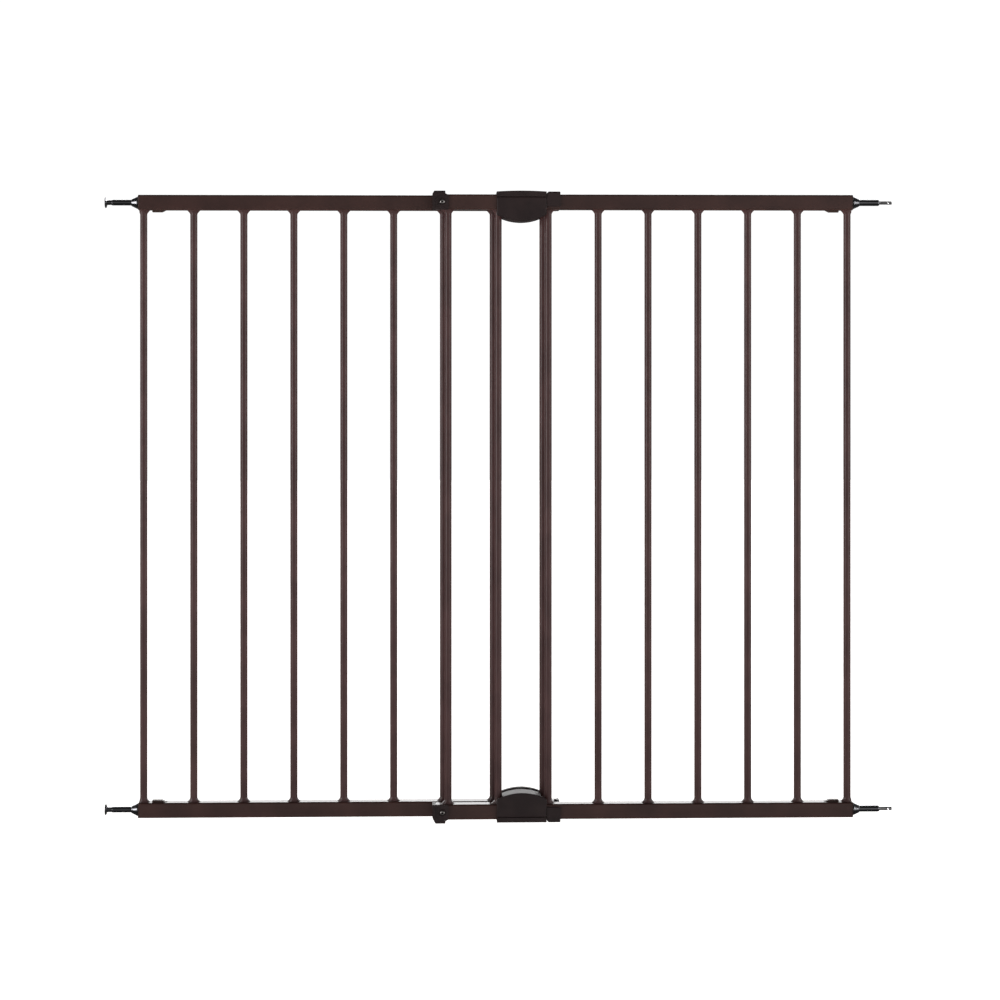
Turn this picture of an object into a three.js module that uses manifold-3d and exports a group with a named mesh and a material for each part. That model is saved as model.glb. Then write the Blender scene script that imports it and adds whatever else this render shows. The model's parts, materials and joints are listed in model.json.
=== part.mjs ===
// Width-adjustable metal safety gate, hung between two wall posts on four spindles.
// Two barred panels lie one behind the other and slide along each other to set the width.
// Millimetres, +X along the gate towards its hinge side, +Y towards its back, +Z up.
// The origin is the middle of the lower hinge pin's tip.
import * as THREE from "three";
import { mergeVertices } from "three/addons/utils/BufferGeometryUtils.js";
import Module from "manifold-3d";

const wasm = await Module();
wasm.setup();

// Panels
const barCount = 9;
const barPitch = 72.6;
const barRadius = 5.2;
const barWall = 1;
const barSides = 14;
const barEnterRail = 4;
const railHeight = 22;
const railDepth = 20;
const railWall = 1.2;
const railCorner = 2.5;
const railCentreHeight = 441;
const railPastBar = 6.2;
const panelGap = 3;
const barsShared = 138.7; // from the front panel's first bar to the back panel's last one
const fitGap = 0.3;

// Clamp bracket, end sleeve and coupler
const skin = 2.6;
const outerWall = 4.7;
const outerBevel = 2;
const backWallLow = -9; // how far the fittings' back walls reach across the rail
const clampLeft = -22.6;
const clampRight = 0.6;
const clampCrownEnd = -3.6; // where the bracket's raised outer side stops
const clampCrownLean = 0.4;
const frontRailLeft = -18;
const clampScrewX = -8.2;
const sleeveLeft = 143;
const sleeveRight = 162.4;
const sleeveFaceLow = -6.7;
const sleeveCorner = 2.4;
const catchLeft = 154.6;
const catchReach = 2;
const catchWidth = 5;
const backRailRight = 158.4;
const sleeveScrewX = 152.8;
const couplerCentre = 106.4;
const couplerHalfWidth = 36;
const bulgeHalfWidth = 28.2;
const moonApex = 17;
const moonRadius = 74;
const couplerFace = 4.2;
const bulgeBack = 16.5;
const slotBack = 29;
const couplerScrewSpread = 24;
const couplerSeam = 7.2; // where the front shell's face stops and the strap's face begins
const couplerEdges = {
  top: { outerWall: 4.7, lapWall: 2.2, crown: 1.2 },
  bottom: { outerWall: 3, lapWall: 1.1, crown: 0 },
};
const lapStep = 1.5; // how far the front shell's lap starts behind its face
const sheetPlastic = 2.2; // wall of the hollow half-moon

// Screws
const clampScrewRadius = 2;
const clampHoleRadius = 2.5;
const clampHeadRadius = 3.75;
const clampHeadHeight = 2.1;
const plungerRadius = 4;
const plungerStart = 1.3;
const weldNutSide = 7;
const weldNutThickness = 3.2;
const couplerHoleRadius = 1.9;
const tappingScrewRadius = 1.5;
const sleeveScrewLength = 9;
const couplerScrewLength = 8;

// Spindles, their nuts and plugs
const plugFlange = 0.8;
const plugLength = 42;
const plugBore = 4.8;
const tabStart = 19;
const tabEnd = 39;
const tabHalfWidth = 4;
const tabReach = 3;
const tabFlat = 14;
const nutLength = 10;
const nutRadius = 9.2;
const latchRodRadius = 4.2;
const hingeRodRadius = 4.5;
const spindleInside = 48;
const latchRodLength = 28.1;
const latchNeckRadius = 3.6;
const latchNeckLength = 6.8;
const latchFlangeRadius = 7.85;
const latchFlangeLength = 3.2;
const hingeRodLength = 29.4;
const hingePinRadius = 2.45;
const hingePinLength = 18.4;
const crossHoleRadius = 1.2;
const crossHoleFromTip = 5.5;

const material = (color, roughness, metalness) => () =>
  new THREE.MeshStandardMaterial({ color, roughness, metalness });
const powderCoat = material(0x3a2e2b, 0.42, 0.35);
const barCoat = material(0x46383a, 0.36, 0.4);
const blackNylon = material(0x2a2322, 0.6, 0);
const plugPlastic = material(0x24201f, 0.55, 0);
const blackSteel = material(0x161618, 0.22, 0.6);
const zincSteel = material(0xa59b9b, 0.3, 1);

const halfHeight = railHeight / 2;
const halfDepth = railDepth / 2;
const backPanelY = railDepth + panelGap;
const panelLength = (barCount - 1) * barPitch;
const backPanelX = barsShared - panelLength;
const backRailFarFace = backPanelY + halfDepth;
const frontRailRight = panelLength + railPastBar;
const nutStart = plugFlange + 2 * fitGap;
const hingeTip = frontRailRight + nutStart + nutLength + hingeRodLength + hingePinLength;

// ---- shaping helpers ----

function solidOf(geometry) {
  const bare = geometry.index ? geometry.toNonIndexed() : geometry.clone();
  bare.deleteAttribute("normal");
  bare.deleteAttribute("uv");
  const merged = mergeVertices(bare, 1e-4);
  return new wasm.Manifold(
    new wasm.Mesh({
      numProp: 3,
      vertProperties: new Float32Array(merged.attributes.position.array),
      triVerts: new Uint32Array(merged.index.array),
    }),
  );
}

function geometryOf(solid) {
  const mesh = solid.getMesh();
  const geometry = new THREE.BufferGeometry();
  geometry.setAttribute("position", new THREE.BufferAttribute(mesh.vertProperties, 3));
  geometry.setIndex(new THREE.BufferAttribute(mesh.triVerts, 1));
  geometry.computeVertexNormals();
  return geometry;
}

function joined(first, ...others) {
  return others.reduce((whole, piece) => whole.add(solidOf(piece)), solidOf(first));
}

function cutBy(solid, tools) {
  return tools.reduce((left, tool) => left.subtract(solidOf(tool)), solid);
}

function outline(points) {
  return new THREE.Shape(points.map(([u, v]) => new THREE.Vector2(u, v)));
}

function roundedRectangle(width, height, radius) {
  const u = width / 2 - radius;
  const v = height / 2 - radius;
  const shape = new THREE.Shape();
  shape.absarc(u, v, radius, 0, Math.PI / 2, false);
  shape.absarc(-u, v, radius, Math.PI / 2, Math.PI, false);
  shape.absarc(-u, -v, radius, Math.PI, Math.PI * 1.5, false);
  shape.absarc(u, -v, radius, Math.PI * 1.5, Math.PI * 2, false);
  shape.closePath();
  return shape;
}

function prism(shape, length, curveSegments = 4) {
  return new THREE.ExtrudeGeometry(shape, { depth: length, bevelEnabled: false, steps: 1, curveSegments });
}

const axisTurn = {
  x: new THREE.Matrix4().makeBasis(
    new THREE.Vector3(0, 1, 0),
    new THREE.Vector3(0, 0, 1),
    new THREE.Vector3(1, 0, 0),
  ),
  y: new THREE.Matrix4().makeBasis(
    new THREE.Vector3(1, 0, 0),
    new THREE.Vector3(0, 0, 1),
    new THREE.Vector3(0, -1, 0),
  ),
};

// A section in Y and Z, swept from one X to another.
function alongX(shape, from, to, curveSegments) {
  return prism(shape, to - from, curveSegments).applyMatrix4(axisTurn.x).translate(from, 0, 0);
}

// An outline in X and Z, swept from one Y to another.
function alongY(shape, from, to, curveSegments) {
  return prism(shape, to - from, curveSegments).applyMatrix4(axisTurn.y).translate(0, to, 0);
}

function block(x, y, z) {
  const size = [x, y, z].map(([low, high]) => high - low);
  const middle = [x, y, z].map(([low, high]) => (low + high) / 2);
  return new THREE.BoxGeometry(...size).translate(...middle);
}

function rod(axis, radius, from, to, sides = 16) {
  const geometry = new THREE.CylinderGeometry(radius, radius, to - from, sides);
  geometry.translate(0, (from + to) / 2, 0);
  if (axis === "x") geometry.rotateZ(-Math.PI / 2);
  if (axis === "z") geometry.rotateX(Math.PI / 2);
  return geometry;
}

// A turned shape about X, from pairs of distance along X and radius.
function turned(profile, sides = 20) {
  const points = profile.map(([along, radius]) => new THREE.Vector2(radius, along));
  return new THREE.LatheGeometry(points, sides).rotateZ(-Math.PI / 2);
}

function meshOf(name, shape, material) {
  const mesh = new THREE.Mesh(shape.isBufferGeometry ? shape : geometryOf(shape), material);
  mesh.name = name;
  return mesh;
}

// ---- panels ----

// The rail is a rolled tube, pierced for the bars, the plug's snap tab and the fittings' screws.
function rail(name, from, to, tabTowards, holes) {
  const section = roundedRectangle(railDepth, railHeight, railCorner);
  section.holes.push(
    roundedRectangle(railDepth - 2 * railWall, railHeight - 2 * railWall, railCorner - railWall),
  );
  const piercings = Array.from({ length: barCount }, (_, bar) =>
    rod("z", barRadius + fitGap, -halfHeight - 1, -halfHeight + railWall + 1, barSides).translate(
      bar * barPitch,
      0,
      0,
    ),
  );
  const end = tabTowards > 0 ? to : from;
  const slot = [end - tabTowards * (tabStart - 1), end - tabTowards * (tabEnd + 1)].sort((a, b) => a - b);
  const slotSide = [-tabHalfWidth - 0.5, tabHalfWidth + 0.5];
  piercings.push(block(slot, slotSide, [-halfHeight - 1, -halfHeight + railWall + 1]));
  return meshOf(name, cutBy(solidOf(alongX(section, from, to)), [...piercings, ...holes]), powderCoat());
}

function bar(name, index) {
  const tube = new THREE.Shape();
  tube.absarc(0, 0, barRadius, 0, Math.PI * 2, false);
  const bore = new THREE.Path();
  bore.absarc(0, 0, barRadius - barWall, 0, Math.PI * 2, true);
  tube.holes.push(bore);
  const halfLength = railCentreHeight - halfHeight + barEnterRail;
  const mesh = meshOf(name, prism(tube, 2 * halfLength, barSides / 2), barCoat());
  mesh.position.set(index * barPitch, 0, -halfLength);
  return mesh;
}

// ---- spindles: built at the panel's outer end, with +X pointing out of the rail ----

function endPlug(name) {
  const inside = railWall + fitGap;
  const width = railDepth - 2 * inside;
  const height = railHeight - 2 * inside;
  const core = alongX(roundedRectangle(width, height, 1), -plugLength, 0.5, 2);
  const cap = alongX(roundedRectangle(railDepth, railHeight, railCorner), fitGap, plugFlange + fitGap, 4);
  const tab = alongY(
    outline([
      [-tabStart, -height / 2 + 1],
      [-tabEnd, -height / 2 + 1],
      [-tabEnd, -halfHeight],
      [-tabStart - tabFlat, -halfHeight - tabReach],
      [-tabStart, -halfHeight - tabReach],
    ]),
    -tabHalfWidth,
    tabHalfWidth,
  );
  const barPocket = block(
    [-railPastBar - barRadius - 1, -railPastBar + barRadius + 1],
    [-railDepth, railDepth],
    [-railHeight, -halfHeight + barEnterRail + 0.8],
  );
  const bore = rod("x", plugBore, -plugLength - 1, plugFlange + 2, 20);
  const notched = cutBy(joined(core, tab), [barPocket, bore]);
  return meshOf(name, notched.add(cutBy(solidOf(cap), [bore])), plugPlastic());
}

function latchSpindle(name) {
  const innerEnd = nutStart - spindleInside;
  const neckStart = nutStart + nutLength + latchRodLength;
  const flangeStart = neckStart + latchNeckLength;
  const tip = flangeStart + latchFlangeLength;
  const profile = [
    [innerEnd, 0],
    [innerEnd, latchRodRadius - 0.6],
    [innerEnd + 0.6, latchRodRadius],
    [neckStart - 0.6, latchRodRadius],
    [neckStart, latchNeckRadius],
    [flangeStart, latchNeckRadius],
    [tip - 1.4, latchFlangeRadius],
    [tip - 0.4, latchFlangeRadius],
    [tip, latchFlangeRadius - 0.4],
    [tip, 0],
  ];
  return meshOf(name, turned(profile), blackSteel());
}

function hingeSpindle(name) {
  const innerEnd = nutStart - spindleInside;
  const pinStart = nutStart + nutLength + hingeRodLength;
  const tip = pinStart + hingePinLength;
  const profile = [
    [innerEnd, 0],
    [innerEnd, hingeRodRadius - 0.6],
    [innerEnd + 0.6, hingeRodRadius],
    [pinStart - 1.4, hingeRodRadius],
    [pinStart, hingePinRadius + 0.8],
    [pinStart, hingePinRadius],
    [tip - 0.6, hingePinRadius],
    [tip, hingePinRadius - 0.6],
    [tip, 0],
  ];
  const crossHole = rod("y", crossHoleRadius, -railDepth, railDepth, 12).translate(
    tip - crossHoleFromTip,
    0,
    0,
  );
  return meshOf(name, cutBy(solidOf(turned(profile)), [crossHole]), blackSteel());
}

// A cone that the hand turns, with its wide end against the rail.
function adjusterNut(name, rodRadius) {
  const bore = rodRadius + fitGap;
  const end = nutStart + nutLength;
  const profile = [
    [nutStart, bore],
    [nutStart, nutRadius - 0.4],
    [nutStart + 0.4, nutRadius],
    [nutStart + 1.4, nutRadius],
    [end - 0.6, rodRadius + 1],
    [end, rodRadius + 0.7],
    [end, bore],
  ];
  return meshOf(name, turned([...profile, profile[0]]), blackSteel());
}

function spindleSet(side, position, spindle, rodRadius) {
  return [
    endPlug(`${side}_end_plug_${position}`),
    spindle(`${side}_spindle_${position}`),
    adjusterNut(`${side}_nut_${position}`, rodRadius),
  ];
}

// ---- fittings of the overlap: built with the front rail's middle at Y 0, Z 0 and +Z outwards ----

// The open section that reaches round both rails from outside and leaves their bars free.
function hookSection(wall, faceLow) {
  const front = -halfDepth - fitGap;
  const back = backRailFarFace + fitGap;
  const roof = halfHeight + fitGap;
  return outline([
    [front - skin, faceLow],
    [front, faceLow],
    [front, roof],
    [back, roof],
    [back, backWallLow],
    [back + skin, backWallLow],
    [back + skin, roof + wall - outerBevel],
    [back + skin - outerBevel, roof + wall],
    [front - skin + outerBevel, roof + wall],
    [front - skin, roof + wall - outerBevel],
  ]);
}

// The bracket is fixed on the front rail's free end, and the back rail slides through it.
function clampBracket(name, [bevelWide, bevelTall]) {
  const top = halfHeight + fitGap + outerWall;
  const low = -halfHeight - fitGap;
  const face = alongY(
    outline([
      [clampLeft, low],
      [clampRight, low],
      [clampRight, halfHeight - 1],
      [clampCrownEnd, halfHeight + 1],
      [clampCrownEnd - clampCrownLean, top],
      [clampLeft + bevelWide, top],
      [clampLeft, top - bevelTall],
    ]),
    -halfDepth - 2 * skin,
    backRailFarFace + 2 * skin,
  );
  const hook = solidOf(alongX(hookSection(outerWall, low), clampLeft, clampRight)).intersect(solidOf(face));
  const endWall = solidOf(
    block([clampLeft, frontRailLeft - fitGap], [-halfDepth - fitGap - skin, halfDepth], [low, halfHeight]),
  ).intersect(solidOf(face));
  const screwHole = rod("y", clampHoleRadius, -railDepth, 0).translate(clampScrewX, 0, 0);
  return meshOf(name, cutBy(hook.add(endWall), [screwHole]), blackNylon());
}

// Button-head screw with a hexagon socket, threaded through the weld nut inside the front rail.
function clampScrew(name) {
  const seat = -halfDepth - fitGap - skin - 0.2;
  const tip = plungerStart - fitGap;
  const headTop = seat - clampHeadHeight;
  const turnedBody = turned([
    [headTop, 0],
    [headTop, 0.64 * clampHeadRadius],
    [seat - 0.45 * clampHeadHeight, 0.91 * clampHeadRadius],
    [seat, clampHeadRadius],
    [seat, clampScrewRadius],
    [tip, clampScrewRadius],
    [tip, 0],
  ]).rotateZ(Math.PI / 2);
  const socket = rod("y", 1.45, headTop - 1, headTop + 1.4, 6);
  const mesh = meshOf(name, cutBy(solidOf(turnedBody), [socket]), zincSteel());
  mesh.position.x = clampScrewX;
  return mesh;
}

function weldNut(name) {
  const face = -halfDepth + railWall + fitGap;
  const across = [-weldNutSide / 2, weldNutSide / 2];
  const nut = block(across, [face, face + weldNutThickness], across);
  const hole = rod("y", clampScrewRadius + fitGap, -railDepth, railDepth);
  const mesh = meshOf(name, cutBy(solidOf(nut), [hole]), zincSteel());
  mesh.position.x = clampScrewX;
  return mesh;
}

// The screw's tip pushes this plunger out of the front rail and on to the back one.
function clampPlunger(name) {
  const pin = rod("y", plungerRadius, plungerStart, halfDepth + panelGap - fitGap, 18);
  const mesh = meshOf(name, pin, plugPlastic());
  mesh.position.x = clampScrewX;
  return mesh;
}

// The sleeve closes the back rail's free end and slides along the front rail.
function endSleeve(name, extras) {
  const wall = outerWall - 1;
  const top = halfHeight + fitGap + wall;
  const face = alongY(
    outline([
      [sleeveLeft, -railHeight],
      [sleeveRight, -railHeight],
      [sleeveRight, top - 0.8],
      [sleeveRight - 0.8, top],
      [sleeveLeft + sleeveCorner, top],
      [sleeveLeft, top - sleeveCorner],
    ]),
    -railDepth,
    backRailFarFace + railDepth,
  );
  const section = alongX(hookSection(wall, sleeveFaceLow), sleeveLeft, sleeveRight);
  const hook = solidOf(section).intersect(solidOf(face));
  const endWall = block(
    [backRailRight + fitGap, sleeveRight - 0.4],
    [backPanelY - halfDepth, backRailFarFace + 1],
    [-halfHeight - fitGap, halfHeight + 1],
  );
  const whole = hook.add(joined(endWall, ...extras));
  return meshOf(name, cutBy(whole, [sleeveScrewHole()]), blackNylon());
}

// A small wedge on the lower sleeve, over the inner side of the back rail's end.
function sleeveCatch() {
  const end = backRailRight + fitGap;
  const inner = -halfHeight - fitGap;
  const wedge = outline([
    [catchLeft, inner],
    [catchLeft + 0.4, inner - catchReach],
    [catchLeft + 1.9, inner - catchReach],
    [end, inner - 0.8],
    [sleeveRight - 0.4, inner - 0.8],
    [sleeveRight - 0.4, inner + 1],
    [end, inner + 1],
    [end, inner],
  ]);
  const from = backPanelY - halfDepth;
  return alongY(wedge, from, from + catchWidth);
}

function sleeveScrewHole() {
  const hole = rod("y", tappingScrewRadius + fitGap, backPanelY, backRailFarFace + railDepth);
  return hole.translate(sleeveScrewX, 0, 0);
}

function sleeveScrew(name) {
  const seat = backRailFarFace + fitGap + skin + 0.2;
  const body = turned([
    [seat - sleeveScrewLength, 0],
    [seat - sleeveScrewLength, 0.6],
    [seat - sleeveScrewLength + 1.5, tappingScrewRadius],
    [seat, tappingScrewRadius],
    [seat, 3],
    [seat + 1.2, 2.7],
    [seat + 1.8, 1.6],
    [seat + 1.8, 0],
  ]).rotateZ(Math.PI / 2);
  const mesh = meshOf(name, body, zincSteel());
  mesh.position.x = sleeveScrewX;
  return mesh;
}

// ---- coupler: a half-moon housing in two shells, fixed on the front rail ----

function halfMoon(halfWidth, apex, top) {
  const drop = (u) => moonRadius - Math.sqrt(moonRadius ** 2 - u ** 2);
  const steps = 10;
  const arc = Array.from({ length: steps + 1 }, (_, step) => {
    const u = -halfWidth + (2 * halfWidth * step) / steps;
    return [u, -halfHeight - apex + drop(u)];
  });
  return outline([[-halfWidth, top], ...arc, [halfWidth, top]]);
}

const couplerScrewX = (side) => couplerCentre + (side * couplerScrewSpread) / 2;

function couplerScrewHoles() {
  return [-1, 1].map((side) => {
    const hole = rod("z", couplerHoleRadius, 0, railHeight);
    return hole.translate(couplerScrewX(side), 0, 0);
  });
}

function couplerFrontShell(name, { lapWall }) {
  const front = -halfDepth - fitGap;
  const roof = halfHeight + fitGap;
  const across = [-couplerHalfWidth, couplerHalfWidth];
  const plate = alongY(halfMoon(couplerHalfWidth, moonApex, couplerSeam), front - couplerFace, front);
  const foot = block(across, [front - lapStep, front], [couplerSeam - 1, roof + lapWall]);
  const lap = block(across, [front - 1, halfDepth - 2], [roof, roof + lapWall]);
  const bulge = alongY(halfMoon(bulgeHalfWidth, moonApex, -halfHeight - fitGap), front - 1, bulgeBack);
  const pocket = alongY(
    halfMoon(bulgeHalfWidth - sheetPlastic, moonApex - sheetPlastic, -halfHeight + 1),
    front,
    bulgeBack - sheetPlastic,
  );
  const hollowBulge = cutBy(solidOf(bulge), [pocket]);
  const shell = joined(plate, foot, lap).add(hollowBulge).translate([couplerCentre, 0, 0]);
  return meshOf(name, cutBy(shell, couplerScrewHoles()), blackNylon());
}

// The strap laps over the front shell, turns down over its face and reaches round the back rail.
function couplerRearShell(name, { outerWall, lapWall, crown }) {
  const front = -halfDepth - fitGap - couplerFace;
  const back = backRailFarFace + fitGap;
  const roof = halfHeight + fitGap;
  const top = roof + outerWall;
  const steps = 8;
  const crest = Array.from({ length: steps + 1 }, (_, step) => {
    const share = 1 - (2 * step) / steps;
    return [share * couplerHalfWidth, top - crown * share ** 2];
  });
  const lapFloor = roof + lapWall + fitGap;
  const strap = alongY(
    outline([[-couplerHalfWidth, lapFloor], [couplerHalfWidth, lapFloor], ...crest]),
    front,
    back + couplerFace,
  );
  const across = [-couplerHalfWidth, couplerHalfWidth];
  const lipBack = -halfDepth - lapStep - 2 * fitGap;
  const lip = block(across, [front, lipBack], [couplerSeam + fitGap, lapFloor + 1]);
  const thick = block(across, [halfDepth - 2 + fitGap, back + couplerFace], [roof, lapFloor + 1]);
  const plate = alongY(halfMoon(couplerHalfWidth, moonApex, lapFloor), back, back + couplerFace);
  const moonTop = -halfHeight - fitGap;
  const rearMoon = alongY(halfMoon(bulgeHalfWidth, moonApex, moonTop), slotBack, back + 1);
  const shell = joined(strap, lip, thick, plate, rearMoon).translate([couplerCentre, 0, 0]);
  const sinks = [-1, 1].map((side) =>
    new THREE.CylinderGeometry(3.9, couplerHoleRadius, 2, 16)
      .rotateX(Math.PI / 2)
      .translate(couplerScrewX(side), 0, top - 0.9),
  );
  return meshOf(name, cutBy(shell, [...couplerScrewHoles(), ...sinks]), blackNylon());
}

function couplerScrew(name, side, { outerWall }) {
  const top = halfHeight + fitGap + outerWall - 0.4;
  const body = turned([
    [top - couplerScrewLength, 0],
    [top - couplerScrewLength, 0.5],
    [top - couplerScrewLength + 1.4, tappingScrewRadius],
    [top - 1.7, tappingScrewRadius],
    [top - 0.2, 3],
    [top, 3],
    [top, 0],
  ]).rotateY(-Math.PI / 2);
  const mesh = meshOf(name, body, zincSteel());
  mesh.position.x = couplerScrewX(side);
  return mesh;
}

// ---- assembly ----

// A frame for the top or bottom edge, with +Z pointing out of the gate in both.
function edgeFrame(side, y = 0) {
  const frame = new THREE.Group();
  frame.position.set(0, y, side * railCentreHeight);
  frame.scale.z = side;
  return frame;
}

const gate = new THREE.Group();
const frontPanel = new THREE.Group();
const backPanel = new THREE.Group();
backPanel.position.set(backPanelX, backPanelY, 0);
for (let index = 0; index < barCount; index += 1) {
  frontPanel.add(bar(`front_bar_${index + 1}`, index));
  backPanel.add(bar(`back_bar_${index + 1}`, index));
}

for (const [position, side, clampBevel, sleeveExtras] of [
  ["top", 1, [2.8, 4.6], []],
  ["bottom", -1, [4.6, 8.5], [sleeveCatch()]],
]) {
  const couplerEdge = couplerEdges[position];
  const clampHoles = [
    rod("y", clampHoleRadius, -railDepth, 0).translate(clampScrewX, 0, 0),
    rod("y", plungerRadius + fitGap, 0, railDepth, 18).translate(clampScrewX, 0, 0),
  ];
  const frontEdge = edgeFrame(side);
  frontEdge.add(
    rail(`front_rail_${position}`, frontRailLeft, frontRailRight, 1, [
      ...clampHoles,
      ...couplerScrewHoles(),
    ]),
    clampBracket(`clamp_bracket_${position}`, clampBevel),
    clampScrew(`clamp_screw_${position}`),
    weldNut(`clamp_weld_nut_${position}`),
    clampPlunger(`clamp_plunger_${position}`),
    couplerFrontShell(`coupler_front_shell_${position}`, couplerEdge),
    couplerRearShell(`coupler_rear_shell_${position}`, couplerEdge),
    couplerScrew(`coupler_screw_left_${position}`, -1, couplerEdge),
    couplerScrew(`coupler_screw_right_${position}`, 1, couplerEdge),
    endSleeve(`end_sleeve_${position}`, sleeveExtras),
    sleeveScrew(`sleeve_screw_${position}`),
  );
  const hingeEnd = new THREE.Group();
  hingeEnd.position.x = frontRailRight;
  hingeEnd.add(...spindleSet("hinge", position, hingeSpindle, hingeRodRadius));
  frontEdge.add(hingeEnd);
  frontPanel.add(frontEdge);

  const backEdge = edgeFrame(side);
  const screwHole = sleeveScrewHole().translate(-backPanelX, -backPanelY, 0);
  backEdge.add(rail(`back_rail_${position}`, -railPastBar, backRailRight - backPanelX, -1, [screwHole]));
  const latchEnd = new THREE.Group();
  latchEnd.position.x = -railPastBar;
  latchEnd.scale.x = -1;
  latchEnd.add(...spindleSet("latch", position, latchSpindle, latchRodRadius));
  backEdge.add(latchEnd);
  backPanel.add(backEdge);
}

gate.add(frontPanel, backPanel);
gate.position.set(-hingeTip, 0, railCentreHeight);

export default gate;
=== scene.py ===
import json
import math
import random

import bmesh
import bpy
from mathutils import Matrix, Vector

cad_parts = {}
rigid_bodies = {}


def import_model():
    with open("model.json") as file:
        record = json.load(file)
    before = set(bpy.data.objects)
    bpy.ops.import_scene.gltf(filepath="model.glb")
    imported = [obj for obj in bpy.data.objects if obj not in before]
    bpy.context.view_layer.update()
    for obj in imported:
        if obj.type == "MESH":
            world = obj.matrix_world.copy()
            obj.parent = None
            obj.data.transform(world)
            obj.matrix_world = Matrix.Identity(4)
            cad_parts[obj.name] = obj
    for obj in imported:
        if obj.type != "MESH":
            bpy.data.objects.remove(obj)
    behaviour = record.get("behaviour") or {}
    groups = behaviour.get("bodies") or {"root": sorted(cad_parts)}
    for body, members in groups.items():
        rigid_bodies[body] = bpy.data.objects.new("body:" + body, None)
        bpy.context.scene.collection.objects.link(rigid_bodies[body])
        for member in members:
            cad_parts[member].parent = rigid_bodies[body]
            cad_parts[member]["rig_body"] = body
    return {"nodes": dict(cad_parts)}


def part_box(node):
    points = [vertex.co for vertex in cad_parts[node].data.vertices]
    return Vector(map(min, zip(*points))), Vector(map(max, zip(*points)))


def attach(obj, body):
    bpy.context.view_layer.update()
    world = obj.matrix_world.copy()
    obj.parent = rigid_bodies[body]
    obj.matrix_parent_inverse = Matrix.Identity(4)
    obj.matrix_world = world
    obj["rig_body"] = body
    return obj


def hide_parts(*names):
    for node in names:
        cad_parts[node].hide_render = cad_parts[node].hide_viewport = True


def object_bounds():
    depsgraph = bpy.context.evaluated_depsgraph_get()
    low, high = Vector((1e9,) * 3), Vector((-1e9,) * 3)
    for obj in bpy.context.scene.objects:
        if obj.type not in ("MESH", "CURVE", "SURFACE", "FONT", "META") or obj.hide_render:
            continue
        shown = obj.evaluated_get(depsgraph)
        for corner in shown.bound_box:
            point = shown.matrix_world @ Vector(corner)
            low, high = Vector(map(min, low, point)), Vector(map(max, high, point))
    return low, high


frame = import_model()
cadLow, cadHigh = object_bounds()  # the CAD model's own box, before anything is added

scene = bpy.context.scene
perMetre = 1000.0  # pieces are drawn in millimetres and scaled down when they are placed


def boxMm(node):
    low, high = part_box(node)
    return low * perMetre, high * perMetre


def linear(hexColour):
    # an sRGB hex colour as linear values, with full opacity
    channels = [int(hexColour[at:at + 2], 16) / 255 for at in (1, 3, 5)]
    values = [c / 12.92 if c <= 0.04045 else ((c + 0.055) / 1.055) ** 2.4 for c in channels]
    return (*values, 1.0)


def bodyOf(node):
    return frame["nodes"][node]["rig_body"]


railLow, railHigh = boxMm("front_rail_top")
backLow, backHigh = boxMm("back_rail_top")
lowerLow, lowerHigh = boxMm("front_rail_bottom")
frontY = (railLow.y + railHigh.y) / 2
backY = (backLow.y + backHigh.y) / 2
edges = {  # the middle height of each pair of rails, and which way is out of the gate
    "top": {"z": (railLow.z + railHigh.z) / 2, "out": 1},
    "bottom": {"z": (lowerLow.z + lowerHigh.z) / 2, "out": -1},
}
halfRail = (railHigh.z - railLow.z) / 2
halfDepth = (railHigh.y - railLow.y) / 2
backRailFar = backHigh.y


def roundedLoop(width, height, radius, steps=6, extra=()):
    # points round a rounded rectangle, anticlockwise from its right side
    # extra points go on the bottom side
    points = []
    corners = ((1, 1, 0), (-1, 1, 90), (-1, -1, 180), (1, -1, 270))
    for signU, signV, start in corners:
        for step in range(steps + 1):
            angle = math.radians(start + 90 * step / steps)
            u = signU * (width / 2 - radius) + radius * math.cos(angle)
            v = signV * (height / 2 - radius) + radius * math.sin(angle)
            points.append((u, v))
        if start == 180:
            points += [(u, -height / 2) for u in extra]
    return points


def bridge(bm, rings, skip=()):
    # walls between rings of points; skip holds (ring, side) pairs that stay open
    around = len(rings[0])
    for at in range(len(rings) - 1):
        for side in range(around):
            if (at, side) in skip:
                continue
            nextSide = (side + 1) % around
            near, far = rings[at], rings[at + 1]
            bm.faces.new((near[side], near[nextSide], far[nextSide], far[side]))


def loft(sections, capped=True, skip=()):
    # sections are lists of points with the same count, drawn one after another
    bm = bmesh.new()
    rings = [[bm.verts.new(point) for point in section] for section in sections]
    bridge(bm, rings, skip)
    if capped:
        bm.faces.new(rings[0])
        bm.faces.new(rings[-1])
        bmesh.ops.recalc_face_normals(bm, faces=bm.faces)
    return bm


def turned(profile, sides=40, twist=None):
    # a turned shape about X, from pairs of distance along X and radius
    # twist(x, angle) adds to the radius
    bm = bmesh.new()
    rings = []
    for along, radius in profile:
        if radius <= 0:
            rings.append(bm.verts.new((along, 0, 0)))
            continue
        ring = []
        for side in range(sides):
            angle = 2 * math.pi * side / sides
            reach = radius + (twist(along, angle) if twist else 0)
            ring.append(bm.verts.new((along, reach * math.cos(angle), reach * math.sin(angle))))
        rings.append(ring)
    for first, second in zip(rings, rings[1:]):
        for side in range(sides):
            nextSide = (side + 1) % sides
            if isinstance(first, bmesh.types.BMVert):
                bm.faces.new((first, second[side], second[nextSide]))
            elif isinstance(second, bmesh.types.BMVert):
                bm.faces.new((first[side], second, first[nextSide]))
            else:
                bm.faces.new((first[side], second[side], second[nextSide], first[nextSide]))
    bmesh.ops.recalc_face_normals(bm, faces=bm.faces)
    return bm


def prism(points, start, end, axis):
    # an outline swept along X (points are Y, Z) or along Y (points are X, Z)
    if axis == "x":
        return loft([[(at, u, v) for u, v in points] for at in (start, end)])
    return loft([[(u, at, v) for u, v in points] for at in (start, end)])


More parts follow.
